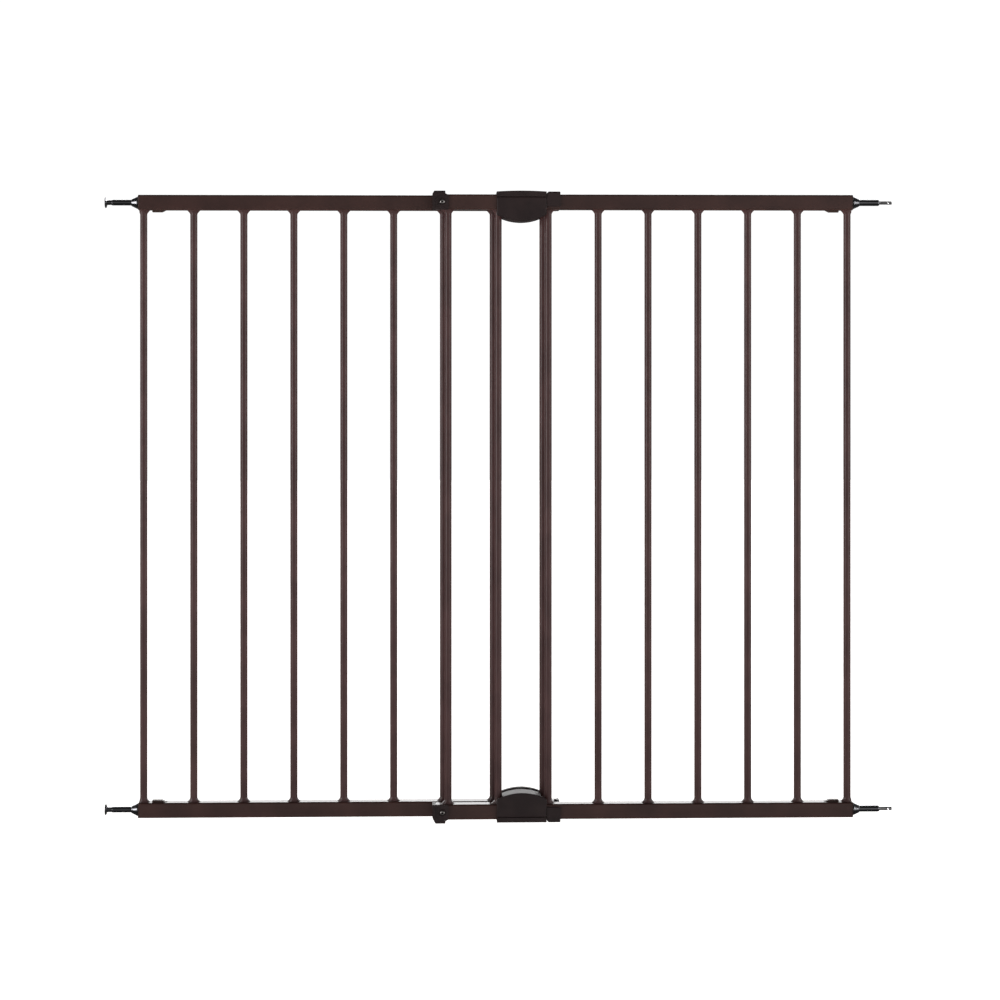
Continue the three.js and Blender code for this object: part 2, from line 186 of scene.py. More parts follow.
def slab(x, y, z):
    # a plain block between pairs of limits, mostly used to join or cut
    return prism([(x[0], z[0]), (x[1], z[0]), (x[1], z[1]), (x[0], z[1])], y[0], y[1], "y")


def rounding(width, depth, steps=5):
    # a quarter round as pairs of inset and depth, from the side wall to the face
    angles = [math.radians(90 * s / steps) for s in range(steps + 1)]
    return [(width * (1 - math.cos(angle)), depth * math.sin(angle)) for angle in angles]


def build(bm, name="part"):
    mesh = bpy.data.meshes.new(name)
    bm.to_mesh(mesh)
    bm.free()
    obj = bpy.data.objects.new(name, mesh)
    scene.collection.objects.link(obj)
    return obj


def settle(obj):
    # turns the modifiers into plain mesh
    shown = obj.evaluated_get(bpy.context.evaluated_depsgraph_get())
    mesh = bpy.data.meshes.new_from_object(shown)
    obj.modifiers.clear()
    spare, obj.data = obj.data, mesh
    bpy.data.meshes.remove(spare)
    return obj


def cut(obj, tool, operation="DIFFERENCE"):
    tool = build(tool, "tool") if isinstance(tool, bmesh.types.BMesh) else tool
    joint = obj.modifiers.new("cut", "BOOLEAN")
    joint.operation, joint.object, joint.solver = operation, tool, "EXACT"
    settle(obj)
    spare = tool.data
    bpy.data.objects.remove(tool)
    bpy.data.meshes.remove(spare)
    return obj


def soften(obj, width, segments=3, angle=32):
    edge = obj.modifiers.new("edge", "BEVEL")
    edge.width, edge.segments = width, segments
    edge.limit_method, edge.angle_limit = "ANGLE", math.radians(angle)
    edge.miter_outer = "MITER_ARC"
    return settle(obj)


def move(bm, offset):
    bmesh.ops.translate(bm, verts=bm.verts, vec=offset)
    return bm


facing = {  # turns from lying along X
    "x": Matrix.Identity(3),
    "y": Matrix.Rotation(math.pi / 2, 3, "Z"),
    "front": Matrix.Rotation(-math.pi / 2, 3, "Z"),
    "z": Matrix.Rotation(-math.pi / 2, 3, "Y"),
}


def turnTo(bm, way):
    bmesh.ops.rotate(bm, verts=bm.verts, matrix=facing[way])
    return bm


def drill(radius, start, end, way, sides=24):
    # a round cutter between two distances along its axis
    return turnTo(turned([(start, 0), (start, radius), (end, radius), (end, 0)], sides), way)


def place(obj, name, nodes, material, matrix=Matrix.Identity(4), sharp=40):
    # puts a piece drawn in millimetres where its CAD node is, on that node's body
    obj.name = obj.data.name = name
    obj.data.transform(Matrix.Scale(1 / perMetre, 4) @ matrix)
    if matrix.determinant() < 0:
        obj.data.flip_normals()
    obj.data.shade_smooth()
    obj.data.set_sharp_from_angle(angle=math.radians(sharp))
    even = obj.modifiers.new("even", "WEIGHTED_NORMAL")
    even.keep_sharp = True
    obj.data.materials.clear()
    obj.data.materials.append(material)
    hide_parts(*nodes)
    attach(obj, bodyOf(nodes[0]))
    return obj


def outward(edge, x=0.0, y=0.0, flipX=1):
    # from a fitting's own axes, with +Z out of the gate, to the frame
    at = edges[edge]
    turn = Matrix.Diagonal((flipX, 1, at["out"], 1))
    return Matrix.Translation((x, y, at["z"])) @ turn


def addNode(tree, kind, settings=None, links=None):
    node = tree.nodes.new(kind)
    for name, value in (settings or {}).items():
        if isinstance(name, int) or name in node.inputs:
            node.inputs[name].default_value = value
        else:
            setattr(node, name, value)
    for name, source in (links or {}).items():
        tree.links.new(source, node.inputs[name])
    return node


def perMm(size):
    return perMetre / size  # a noise scale whose features are that many millimetres across


def newMaterial(name):
    material = bpy.data.materials.new(name)
    material.use_nodes = True
    tree = material.node_tree
    tree.nodes.clear()
    place3d = addNode(tree, "ShaderNodeTexCoord").outputs["Object"]
    shader = addNode(tree, "ShaderNodeBsdfPrincipled")
    addNode(tree, "ShaderNodeOutputMaterial", links={"Surface": shader.outputs["BSDF"]})
    return material, tree, place3d, shader


def mottle(tree, place3d, size, detail, colours, spread=(0.35, 0.65)):
    # cloudy change between hex colours over a size in millimetres
    cloud = addNode(tree, "ShaderNodeTexNoise", {"Scale": perMm(size), "Detail": detail},
                    {"Vector": place3d})
    ramp = addNode(tree, "ShaderNodeValToRGB", links={"Fac": cloud.outputs["Fac"]})
    ramp.color_ramp.elements[0].position, ramp.color_ramp.elements[1].position = spread
    ramp.color_ramp.elements[0].color, ramp.color_ramp.elements[1].color = map(linear, colours)
    return ramp.outputs["Color"]


noiseSpread = {"From Min": 0.3, "From Max": 0.7}  # most of a noise's values lie between these

powderLook = {
    "rail": {"dark": "#382522", "light": "#422b27", "rough": (0.27, 0.34), "cloudMm": 45,
             "peelMm": 2.6, "peelDepthMm": 0.045, "grainMm": 0.5, "ior": 1.5},
    # the bars' copy of the rail's powder coat, with lighter colours: painted light for the shine
    # the round bars catch
    "bar": {"dark": "#442c2b", "light": "#503534", "rough": (0.30, 0.38), "cloudMm": 45,
            "peelMm": 2.6, "peelDepthMm": 0.035, "grainMm": 0.5, "ior": 1.5},
}


def powderCoatedSteel(name, look):
    # Sprayed powder, melted in an oven: satin, with the slow ripple of orange peel.
    # Real peel is about 1.5 mm across; it is drawn a little coarser so that it shows.
    material, tree, place3d, shader = newMaterial(name)
    colour = mottle(tree, place3d, look["cloudMm"], 3, (look["dark"], look["light"]))
    peel = addNode(tree, "ShaderNodeTexNoise", {"Scale": perMm(look["peelMm"]), "Detail": 2.0},
                   {"Vector": place3d})
    grain = addNode(tree, "ShaderNodeTexNoise", {"Scale": perMm(look["grainMm"]), "Detail": 1.0},
                    {"Vector": place3d})
    tree.links.new(colour, shader.inputs["Base Color"])
    smooth, dull = look["rough"]
    rough = addNode(tree, "ShaderNodeMapRange", {**noiseSpread, "To Min": smooth, "To Max": dull},
                    {"Value": grain.outputs["Fac"]})
    tree.links.new(rough.outputs["Result"], shader.inputs["Roughness"])
    depth = look["peelDepthMm"] / perMetre
    bump = addNode(tree, "ShaderNodeBump", {"Strength": 0.5, "Distance": depth},
                   {"Height": peel.outputs["Fac"]})
    tree.links.new(bump.outputs["Normal"], shader.inputs["Normal"])
    shader.inputs["IOR"].default_value = look["ior"]
    return material


plasticLook = {
    "nylon": {"dark": "#261718", "light": "#2e1e1e", "rough": (0.46, 0.58), "cloudMm": 25,
              "sparkMm": 0.9, "sparkDepthMm": 0.05, "grainMm": 0.6, "ior": 1.53},
    "polypropylene": {"dark": "#382721", "light": "#402d27", "rough": (0.40, 0.48), "cloudMm": 25,
                      "sparkMm": 1.2, "sparkDepthMm": 0.02, "grainMm": 0.6, "ior": 1.49},
}


def mouldedPlastic(name, look):
    # Injection moulded against a spark-eroded tool: an even, fine dimple that breaks up the shine.
    # The real dimples are about 0.3 mm; they are drawn coarser so that they show.
    material, tree, place3d, shader = newMaterial(name)
    spark = addNode(tree, "ShaderNodeTexVoronoi", {"Scale": perMm(look["sparkMm"])},
                    {"Vector": place3d})
    fine = addNode(tree, "ShaderNodeTexNoise", {"Scale": perMm(look["grainMm"]), "Detail": 3.0},
                   {"Vector": place3d})
    both = addNode(tree, "ShaderNodeMath", {"operation": "MULTIPLY"},
                   {0: spark.outputs["Distance"], 1: fine.outputs["Fac"]})
    colour = mottle(tree, place3d, look["cloudMm"], 2, (look["dark"], look["light"]))
    tree.links.new(colour, shader.inputs["Base Color"])
    smooth, dull = look["rough"]
    rough = addNode(tree, "ShaderNodeMapRange", {**noiseSpread, "To Min": smooth, "To Max": dull},
                    {"Value": fine.outputs["Fac"]})
    tree.links.new(rough.outputs["Result"], shader.inputs["Roughness"])
    depth = look["sparkDepthMm"] / perMetre
    bump = addNode(tree, "ShaderNodeBump", {"Strength": 0.6, "Distance": depth},
                   {"Height": both.outputs["Value"]})
    tree.links.new(bump.outputs["Normal"], shader.inputs["Normal"])
    shader.inputs["IOR"].default_value = look["ior"]
    return material


steelLook = {
    "black": {"dark": "#8c8c90", "light": "#9c9ca0", "rough": (0.16, 0.22),
              "lineMm": 0.35, "lineDepthMm": 0.002},
    # near-black for the faces inside the screw's socket: painted shade for the deep hollow
    "socket_shade": {"dark": "#161314", "light": "#201c1c", "rough": (0.5, 0.6),
              "lineMm": 0.3, "lineDepthMm": 0.004},
    "zinc": {"dark": "#b4aeaa", "light": "#d8d2ce", "rough": (0.24, 0.34),
             "lineMm": 0.3, "lineDepthMm": 0.004},
    "pin": {"dark": "#d6d4d4", "light": "#e6e4e4", "rough": (0.08, 0.13),
            "lineMm": 0.35, "lineDepthMm": 0.002},
}
steelCloudMm = 12


def turnedSteel(name, look):
    # Turned on a lathe and plated: mirror-like, with fine rings round the axis that stretch the
    # shine along X. Real tool marks are about 0.1 mm apart; they are drawn coarser to show.
    material, tree, place3d, shader = newMaterial(name)
    stretch = addNode(tree, "ShaderNodeMapping", {"Scale": (1.0, 0.02, 0.02)}, {"Vector": place3d})
    rings = addNode(tree, "ShaderNodeTexNoise", {"Scale": perMm(look["lineMm"]), "Detail": 2.0},
                    {"Vector": stretch.outputs["Vector"]})
    colour = mottle(tree, place3d, steelCloudMm, 2, (look["dark"], look["light"]))
    tree.links.new(colour, shader.inputs["Base Color"])
    smooth, dull = look["rough"]
    rough = addNode(tree, "ShaderNodeMapRange", {**noiseSpread, "To Min": smooth, "To Max": dull},
                    {"Value": rings.outputs["Fac"]})
    tree.links.new(rough.outputs["Result"], shader.inputs["Roughness"])
    depth = look["lineDepthMm"] / perMetre
    bump = addNode(tree, "ShaderNodeBump", {"Strength": 0.4, "Distance": depth},
                   {"Height": rings.outputs["Fac"]})
    tree.links.new(bump.outputs["Normal"], shader.inputs["Normal"])
    shader.inputs["Metallic"].default_value = 1.0
    return material


railCoat = powderCoatedSteel("powder_coated_steel_rail", powderLook["rail"])
# the same powder coat as the rails, made lighter for the bars: painted light
barCoatPaintedLighter = powderCoatedSteel("powder_coated_steel_bar_painted_lighter", powderLook["bar"])
nylon = mouldedPlastic("moulded_black_nylon", plasticLook["nylon"])
plugPlastic = mouldedPlastic("moulded_polypropylene", plasticLook["polypropylene"])
blackSteel = turnedSteel("black_plated_turned_steel", steelLook["black"])
zincSteel = turnedSteel("bright_zinc_steel", steelLook["zinc"])
pinSteel = turnedSteel("polished_pin_steel", steelLook["pin"])
socketPaintedShade = turnedSteel("socket_painted_shade_steel", steelLook["socket_shade"])
print("materials made:", len(bpy.data.materials))


railShape = {"corner": 2.5, "cornerSteps": 6, "wall": 1.2, "rim": 0.25,
             "slotHalf": 4.5, "slotFrom": 18, "slotTo": 40}


def makeRail(node, edge, plugEnd):
    # a rolled steel tube, with the slot that the plug's snap tab shows through
    low, high = boxMm(node)
    shape = railShape
    ring = roundedLoop(2 * halfDepth, 2 * halfRail, shape["corner"], shape["cornerSteps"],
                       (-shape["slotHalf"], shape["slotHalf"]))
    end = high.x if plugEnd > 0 else low.x
    slot = [end - plugEnd * shape["slotFrom"], end - plugEnd * shape["slotTo"]]
    stations = sorted([low.x, high.x, *slot])
    slotSide = ring.index((-shape["slotHalf"], -halfRail))
    sections = [[(x, u, v) for u, v in ring] for x in stations]
    skin = loft(sections, capped=False, skip=((1, slotSide),))
    for face in skin.faces:
        face.normal_update()
    first = skin.faces[:][0]
    if first.normal.dot(Vector((0, *first.calc_center_median().yz))) < 0:
        bmesh.ops.reverse_faces(skin, faces=skin.faces)
    tube = build(skin)
    wall = tube.modifiers.new("wall", "SOLIDIFY")
    wall.thickness, wall.offset, wall.use_even_offset = shape["wall"], -1, True
    settle(tube)
    soften(tube, shape["rim"], 2, 60)
    y = (low.y + high.y) / 2
    return place(tube, "rail_" + node.replace("_rail", ""), [node], railCoat, outward(edge, 0, y))


barShape = {"sides": 40, "spans": 6, "weldHeight": 6.0, "weldWide": 4.6, "weldDeep": 0.8,
            "weldSteps": 9, "weldFall": 1.5, "weldSunk": 0.3, "railMargin": 0.3, "lump": 0.16}


def makeBar(node):
    # a straight tube with a painted weld fillet at each rail, wide along the rail only
    low, high = boxMm(node)
    shape = barShape
    centre = (low + high) / 2
    radius = (high.x - low.x) / 2
    seed = random.Random(node)
    faces = (lowerHigh.z, railLow.z)
    panelLow, panelHigh = boxMm(node.split("_")[0] + "_rail_top")
    stations = []
    for step in range(shape["weldSteps"] + 1):
        rise = shape["weldHeight"] * step / shape["weldSteps"]
        left = 1 - step / shape["weldSteps"]
        stations.append((rise, left ** shape["weldFall"]))
    lumps = [[seed.uniform(0, 2 * math.pi) for wave in range(3)] for face in faces]
    margin, sunk = shape["railMargin"], shape["weldSunk"]

    def ring(z, flare, end):
        points = []
        for side in range(shape["sides"]):
            angle = 2 * math.pi * side / shape["sides"]
            bead = sum(math.sin((count + 2) * angle + lumps[end][count]) for count in range(3)) / 3
            swell = shape["lump"] * bead * min(1.0, 3 * flare)
            wide = radius + (shape["weldWide"] + swell) * flare
            deep = radius + shape["weldDeep"] * flare
            x = centre.x + wide * math.cos(angle)
            x = max(panelLow.x + margin, min(panelHigh.x - margin, x))  # stops at the rail's end
            points.append((x, centre.y + deep * math.sin(angle), z))
        return points

    bottom, top = faces
    sections = [ring(low.z, 0, 0), ring(bottom - sunk, 0, 0), ring(bottom - sunk, 1, 0)]
    sections += [ring(bottom + rise, flare, 0) for rise, flare in stations]
    span = (top - bottom - 2 * shape["weldHeight"]) / shape["spans"]
    start = bottom + shape["weldHeight"]
    sections += [ring(start + span * k, 0, 0) for k in range(1, shape["spans"])]
    sections += [ring(top - rise, flare, 1) for rise, flare in reversed(stations)]
    sections += [ring(top + sunk, 1, 1), ring(top + sunk, 0, 1), ring(high.z, 0, 1)]
    return place(build(loft(sections)), "tube_" + node, [node], barCoatPaintedLighter)


for edge in edges:
    makeRail("front_rail_" + edge, edge, 1)
    makeRail("back_rail_" + edge, edge, -1)
for index in range(1, 10):
    makeBar(f"front_bar_{index}")
    makeBar(f"back_bar_{index}")
print("rails and bars made")


plugShape = {"gap": 0.3, "flange": 0.8, "round": 0.7, "roundIn": 1.1, "length": 42, "bore": 4.8,
             "inset": 1.5, "cornerIn": 1.2, "tab": (19, 39), "tabFlat": 14, "tabHalf": 4,
             "tabReach": 3, "tabRoot": 2.5, "tabRound": 0.4}


def makePlug(node, edge, x, y, direction):
    # a moulded plug: rounded cap on the rail's end, a core inside it and a snap tab
    shape = plugShape
    start, flange = shape["gap"], shape["flange"]
    width, height, corner = 2 * halfDepth, 2 * halfRail, railShape["corner"] + 0.2
    sections = [[(start, u, v) for u, v in roundedLoop(width, height, corner)]]
    for inset, depth in rounding(shape["roundIn"], shape["round"]):
        at = start + flange - shape["round"] + depth
        ring = roundedLoop(width - 2 * inset, height - 2 * inset, max(corner - inset * 0.6, 0.6))
        sections.append([(at, u, v) for u, v in ring])
    plug = build(loft(sections))
    inset = 2 * shape["inset"]
    inner = roundedLoop(width - inset, height - inset, shape["cornerIn"], 4)
    core = loft([[(at, u, v) for u, v in inner] for at in (-shape["length"], start + 0.5)])
    cut(plug, core, "UNION")
    near, far = shape["tab"]
    root, crest = -halfRail + shape["tabRoot"], -halfRail - shape["tabReach"]
    profile = [(-near, root), (-far, root), (-far, -halfRail),
               (-near - shape["tabFlat"], crest), (-near, crest)]
    tab = build(prism(profile, -shape["tabHalf"], shape["tabHalf"], "y"))
    soften(tab, shape["tabRound"], 3)
    cut(plug, tab, "UNION")
    cut(plug, drill(shape["bore"], -60, 20, "x", 40))
    side = "hinge" if direction > 0 else "latch"
    matrix = outward(edge, x, y, direction)
    return place(plug, f"{side}_plug_{edge}", [node], plugPlastic, matrix, 30)


threadShape = {"pitch": 2.0, "depth": 0.65, "stepsPerTurn": 8}


def threadedProfile(start, end, radius):
    # stations close enough to carry a helical thread
    gap = threadShape["pitch"] / threadShape["stepsPerTurn"]
    count = int((end - start) / gap)
    return [(start + gap * k, radius) for k in range(1, count)]


def threadTwist(start, end):
    # the thread's groove at a place, faded out over one pitch at both ends
    def depthAt(x, angle):
        if not start < x < end:
            return 0.0
        turn = (x / threadShape["pitch"] - angle / (2 * math.pi)) % 1.0
        groove = 1 - abs(2 * turn - 1)
        fade = min(1.0, (x - start) / threadShape["pitch"], (end - x) / threadShape["pitch"])
        return -threadShape["depth"] * min(1.0, max(0.0, 1.35 * groove - 0.2)) * fade
    return depthAt


nutShape = {"start": 1.4, "length": 10, "radius": 9.2, "land": 1.4}
latchShape = {"rod": 4.2, "inside": 48, "rodLength": 28.1, "neck": 3.6, "neckLength": 6.8,
              "groove": 0.25, "grooves": (2.3, 4.6), "flange": 7.85, "flangeLength": 3.2}
hingeShape = {"rod": 4.5, "inside": 48, "rodLength": 29.4, "pin": 2.45, "pinLength": 18.4,
              "hole": 1.2, "holeFromTip": 5.5}
rodChamfer = 0.7
threadStop = 0.6  # the thread ends this far inside the nut's outer end


def arc(x, r, width, height, steps=5, rising=False):
    # a quarter round between two radii: from (x, r) it goes width along and height down (or up)
    sign = 1 if rising else -1
    angles = [math.radians(90 * s / steps) for s in range(steps + 1)]
    return [(x + width * math.sin(a), r + sign * height * (1 - math.cos(a))) for a in angles]


def makeLatchSpindle(node, edge, x, y):
    shape = latchShape
    inner = nutShape["start"] - shape["inside"]
    threadEnd = nutShape["start"] + nutShape["length"] - threadStop
    neckStart = nutShape["start"] + nutShape["length"] + shape["rodLength"]
    flangeStart = neckStart + shape["neckLength"]
    tip = flangeStart + shape["flangeLength"]
    rod, neck, flange = shape["rod"], shape["neck"], shape["flange"]
    threadStart = inner + rodChamfer
    profile = [(inner, 0), (inner, rod - rodChamfer), (threadStart, rod)]
    profile += threadedProfile(threadStart, threadEnd, rod)
    profile += [(threadEnd, rod), *arc(neckStart - 0.8, rod, 0.8, rod - neck)]
    for along in shape["grooves"]:  # turned in the neck
        middle, sunk = neckStart + along, neck - shape["groove"]
        profile += [(middle - 0.5, neck), (middle - 0.25, sunk),
                    (middle + 0.25, sunk), (middle + 0.5, neck)]
    profile += [(flangeStart, neck), (tip - 1.5, flange - 0.15), (tip - 1.2, flange),
                (tip - 0.5, flange), (tip - 0.15, flange - 0.15), (tip, flange - 0.5)]
    profile += [(tip, 2.2), (tip - 0.5, 1.8), (tip - 0.5, 0)]  # a shallow dish in the end
    piece = build(turned(profile, 40, threadTwist(threadStart, threadEnd)))
    return place(piece, f"latch_rod_{edge}", [node], blackSteel, outward(edge, x, y, -1), 35)


def makeHingeSpindle(node, edge, x, y):
    shape = hingeShape
    inner = nutShape["start"] - shape["inside"]
    threadEnd = nutShape["start"] + nutShape["length"] - threadStop
    pinStart = nutShape["start"] + nutShape["length"] + shape["rodLength"]
    tip = pinStart + shape["pinLength"]
    rod, pin = shape["rod"], shape["pin"]
    threadStart = inner + rodChamfer
    profile = [(inner, 0), (inner, rod - rodChamfer), (threadStart, rod)]
    profile += threadedProfile(threadStart, threadEnd, rod)
    profile += [(threadEnd, rod), *arc(pinStart - 2.4, rod, 2.4, rod - pin - 0.5, 6)]
    profile += [(pinStart + 0.3, pin), (pinStart + 6, pin)]
    profile += [*arc(tip - 0.9, pin, 0.9, 0.9, 5), (tip, 0)]
    piece = build(turned(profile, 40, threadTwist(threadStart, threadEnd)))
    cut(piece, move(drill(shape["hole"], -9, 9, "y", 32), (tip - shape["holeFromTip"], 0, 0)))
    bare = [face.index for face in piece.data.polygons if face.center.x > pinStart + 0.35]
    place(piece, f"hinge_rod_{edge}", [node], blackSteel, outward(edge, x, y), 35)
    piece.data.materials.append(pinSteel)  # the pin is left bright
    for index in bare:
        piece.data.polygons[index].material_index = 1
    return piece


def makeNut(node, edge, x, y, direction, rod):
    # a smooth cone that a hand turns, with a narrow land at its wide end
    shape = nutShape
    start, end, bore = shape["start"], shape["start"] + shape["length"], rod + 0.3
    wide = shape["radius"]
    landEnd = start + shape["land"]
    profile = [(start, bore), (start, wide - 0.5), (start + 0.15, wide - 0.15)]
    profile += [(start + 0.5, wide), (landEnd, wide), (landEnd + 0.4, wide - 0.15)]
    profile += [(end - 0.7, rod + 1.15), (end - 0.2, rod + 0.85), (end, rod + 0.6), (end, bore)]
    piece = build(turned([*profile, profile[0]], 48))
    side = "hinge" if direction > 0 else "latch"
    matrix = outward(edge, x, y, direction)
    return place(piece, f"{side}_cone_nut_{edge}", [node], blackSteel, matrix, 35)


for edge in edges:
    hingeX = boxMm("front_rail_" + edge)[1].x
    latchX = boxMm("back_rail_" + edge)[0].x
    makePlug("hinge_end_plug_" + edge, edge, hingeX, frontY, 1)
    makePlug("latch_end_plug_" + edge, edge, latchX, backY, -1)
    makeHingeSpindle("hinge_spindle_" + edge, edge, hingeX, frontY)
    makeLatchSpindle("latch_spindle_" + edge, edge, latchX, backY)
    makeNut("hinge_nut_" + edge, edge, hingeX, frontY, 1, hingeShape["rod"])
    makeNut("latch_nut_" + edge, edge, latchX, backY, -1, latchShape["rod"])
print("plugs, spindles and nuts made")


hookShape = {"gap": 0.3, "skin": 2.6, "backLow": -9}


def hookOutline(wall, corner, faceLow):
    # the open section that reaches round both rails from outside and leaves their bars free
    shape = hookShape
    front, back = -halfDepth - shape["gap"], backRailFar - frontY + shape["gap"]
    roof, backLow = halfRail + shape["gap"], shape["backLow"]
    outerFront, outerBack, top = front - shape["skin"], back + shape["skin"], roof + wall
    return [(outerFront, faceLow), (front, faceLow), (front, roof), (back, roof), (back, backLow),
            (outerBack, backLow), (outerBack, top - corner), (outerBack - corner, top),
            (outerFront + corner, top), (outerFront, top - corner)]


clampShape = {"wall": 4.7, "corner": 2, "bevel": {"top": (2.8, 4.6), "bottom": (4.6, 8.5)},
              "crownEnd": 4.2, "crownLean": 0.4, "round": 0.6, "screwHole": 2.5,
              "bossInner": 4.3, "bossOuter": 5.4, "bossProud": 0.7, "bossRound": 0.25,
              "ribs": (3.2, 5.6, 8.0), "ribWide": 0.9, "ribHalf": 8, "ribProud": 0.5, "sunk": 0.4}


def makeClampBracket(node, edge):
    # moulded bracket on the front rail's free end, hooked round the back rail
    shape = clampShape
    low, high = boxMm(node)
    left, right = low.x, high.x
    floor = -halfRail - hookShape["gap"]
    hook = build(prism(hookOutline(shape["wall"], shape["corner"], floor), left, right, "x"))
    top = halfRail + hookShape["gap"] + shape["wall"]
    bevelWide, bevelTall = shape["bevel"][edge]
    crown = right - shape["crownEnd"]
    face = [(left, floor), (right, floor), (right, halfRail - 1), (crown, halfRail + 1),
            (crown - shape["crownLean"], top), (left + bevelWide, top), (left, top - bevelTall)]
    inner = boxMm("front_rail_" + edge)[0].x - hookShape["gap"]
    outerFront = -halfDepth - hookShape["gap"] - hookShape["skin"]
    wall = prism([(left, floor), (inner, floor), (inner, halfRail + 1), (left, halfRail + 1)],
                 outerFront + 0.2, halfDepth, "y")
    cut(hook, wall, "UNION")
    cut(hook, prism(face, -60, 60, "y"), "INTERSECT")
    soften(hook, shape["round"], 3)
    screwLow, screwHigh = boxMm("clamp_screw_" + edge)
    screwX = (screwLow.x + screwHigh.x) / 2
    inside, outside, proud = shape["bossInner"], shape["bossOuter"], shape["bossProud"]
    sunk, curve = shape["sunk"], shape["bossRound"]
    boss = turned([(-sunk, inside), (-sunk, outside), (proud - curve, outside),
                   (proud, outside - curve), (proud, inside + curve), (proud - curve, inside),
                   (-sunk, inside)], 40)
    cut(hook, move(turnTo(boss, "front"), (screwX, outerFront, 0)), "UNION")
    for at in shape["ribs"]:  # grip ribs beside the screw
        across = (left + at, left + at + shape["ribWide"])
        deep = (outerFront - shape["ribProud"], outerFront + sunk)
        rib = build(slab(across, deep, (-shape["ribHalf"], shape["ribHalf"])))
        soften(rib, curve, 2)
        cut(hook, rib, "UNION")
    cut(hook, move(drill(shape["screwHole"], -14, 14, "y", 32), (screwX, -halfDepth, 0)))
    return place(hook, f"clamp_hook_{edge}", [node], nylon, outward(edge, 0, frontY), 30)


buttonHead = {"head": 3.75, "height": 2.1, "flat": 1.9, "shank": 2.0, "socket": 1.5,
              "socketDepth": 2.6}


def makeClampScrew(node, edge):
    # button-head screw with a hexagon socket
    shape = buttonHead
    low, high = boxMm(node)
    length = high.y - low.y
    head, height = shape["head"], shape["height"]
    flat = shape["flat"]
    angles = [math.radians(a) for a in range(0, 91, 15)]
    dome = [(height * (1 - math.cos(a)), flat + (head - flat) * math.sin(a)) for a in angles]
    profile = [(0, 0), *dome, (height, shape["shank"]), (length - 0.5, shape["shank"]),
               (length, shape["shank"] - 0.5), (length, 0)]
    screw = build(turned(profile, 40))
    socket = turned([(-1, 0), (-1, shape["socket"] + 0.12), (0.15, shape["socket"]),
                     (shape["socketDepth"], shape["socket"]), (shape["socketDepth"] + 0.4, 0)], 6)
    cut(screw, socket)
    depth, reach = shape["socketDepth"] + 0.4, shape["socket"] + 0.05
    # the faces inside the socket, which get the painted shade
    sunk = [face.index for face in screw.data.polygons
            if 0.1 < face.center.x < depth and face.center.yz.length < reach]
    matrix = outward(edge, (low.x + high.x) / 2, low.y) @ Matrix.Rotation(math.pi / 2, 4, "Z")
    place(screw, f"clamp_button_screw_{edge}", [node], zincSteel, matrix, 35)
    screw.data.materials.append(socketPaintedShade)  # the socket's faces get a near-black material: painted shade for the deep hollow
    for index in sunk:
        screw.data.polygons[index].material_index = 1
    return screw


sleeveShape = {"wall": 3.7, "corner": 2, "faceLow": -6.7, "chamfer": 2.4, "small": 0.8,
               "round": 0.5, "endGap": 0.3, "endInset": 0.4, "screwHole": 1.8,
               "catchFrom": 3.8, "catchReach": 2.0, "catchWidth": 5}


def makeSleeve(node, edge):
    # moulded sleeve that closes the back rail's free end and slides along the front rail
    shape = sleeveShape
    low, high = boxMm(node)
    left, right = low.x, high.x
    section = hookOutline(shape["wall"], shape["corner"], shape["faceLow"])
    hook = build(prism(section, left, right, "x"))
    top = halfRail + hookShape["gap"] + shape["wall"]
    inner = -halfRail - hookShape["gap"]
    endX = boxMm("back_rail_" + edge)[1].x + shape["endGap"]
    wallFrom, wallTo = backLow.y - frontY, backRailFar - frontY + 1
    inset = shape["endInset"]
    closer = slab((endX, right - inset), (wallFrom, wallTo), (-halfRail + inset, halfRail + 1))
    cut(hook, closer, "UNION")
    small, chamfer = shape["small"], shape["chamfer"]
    face = [(left, -30), (right, -30), (right, top - small), (right - small, top),
            (left + chamfer, top), (left, top - chamfer)]
    cut(hook, prism(face, -60, 60, "y"), "INTERSECT")
    if edge == "bottom":  # a small wedge over the inner side of the back rail's end
        start, reach = endX - shape["catchFrom"] - shape["endGap"], inner - shape["catchReach"]
        end = right - inset
        wedge = [(start, inner), (start + 0.4, reach), (start + 1.9, reach), (endX, inner - 0.8),
                 (end, inner - 0.8), (end, inner + 1), (endX, inner + 1), (endX, inner)]
        cut(hook, prism(wedge, wallFrom, wallFrom + shape["catchWidth"], "y"), "UNION")
    soften(hook, shape["round"], 3)
    screwLow, screwHigh = boxMm("sleeve_screw_" + edge)
    screwX, insideWall = (screwLow.x + screwHigh.x) / 2, backRailFar - frontY - 6
    cut(hook, move(drill(shape["screwHole"], 0, 20, "y"), (screwX, insideWall, 0)))
    return place(hook, f"end_cuff_{edge}", [node], nylon, outward(edge, 0, frontY), 30)


crossRecess = {"reach": 1.9, "width": 0.55, "depth": 1.3}


def crossTool(depthStart):
    # two crossed blades that sink a cross recess into a screw head facing +X
    shape = crossRecess
    blades = []
    for wide, tall in ((shape["reach"], shape["width"]), (shape["width"], shape["reach"])):
        corners = ((wide, tall), (-wide, tall), (-wide, -tall), (wide, -tall))
        outer = [(depthStart + 1, u, v) for u, v in corners]
        inner = [(depthStart - shape["depth"], u * 0.45, v * 0.6) for u, v in corners]
        blades.append(loft([inner, outer]))
    return blades


